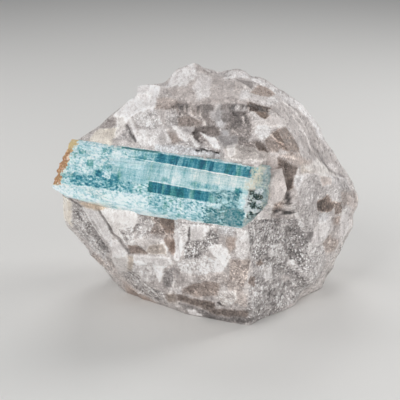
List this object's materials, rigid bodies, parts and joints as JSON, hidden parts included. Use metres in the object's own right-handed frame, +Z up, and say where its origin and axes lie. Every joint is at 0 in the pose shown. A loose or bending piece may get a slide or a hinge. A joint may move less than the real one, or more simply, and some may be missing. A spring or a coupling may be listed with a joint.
{
  "type": "tourmaline crystal in quartz matrix",
  "caption": "Broken block of milky to smoky quartz with a long striated blue-green prism half sunk along its front; stands on a flat base.",
  "frame": {"origin": "middle of the footprint box, on the flat base that the specimen stands on", "axes": "+X along the specimen's width towards the crystal's right end, +Z up; the crystal faces -Y"},
  "size_m": [0.099, 0.0708, 0.0774],
  "materials": {
    "milky_quartz": "broken milky quartz, white to pinkish grey with smoky brown clear zones, sparkling fracture faces",
    "blue_tourmaline": "glassy lengthwise-striated prism, pale aqua and deep teal stripes, frosted white at the left end, orange-brown stain on the break"
  },
  "bodies": {
    "root": {"quartz_matrix": "milky_quartz", "tourmaline_crystal": "blue_tourmaline"}
  },
  "joints": []
}
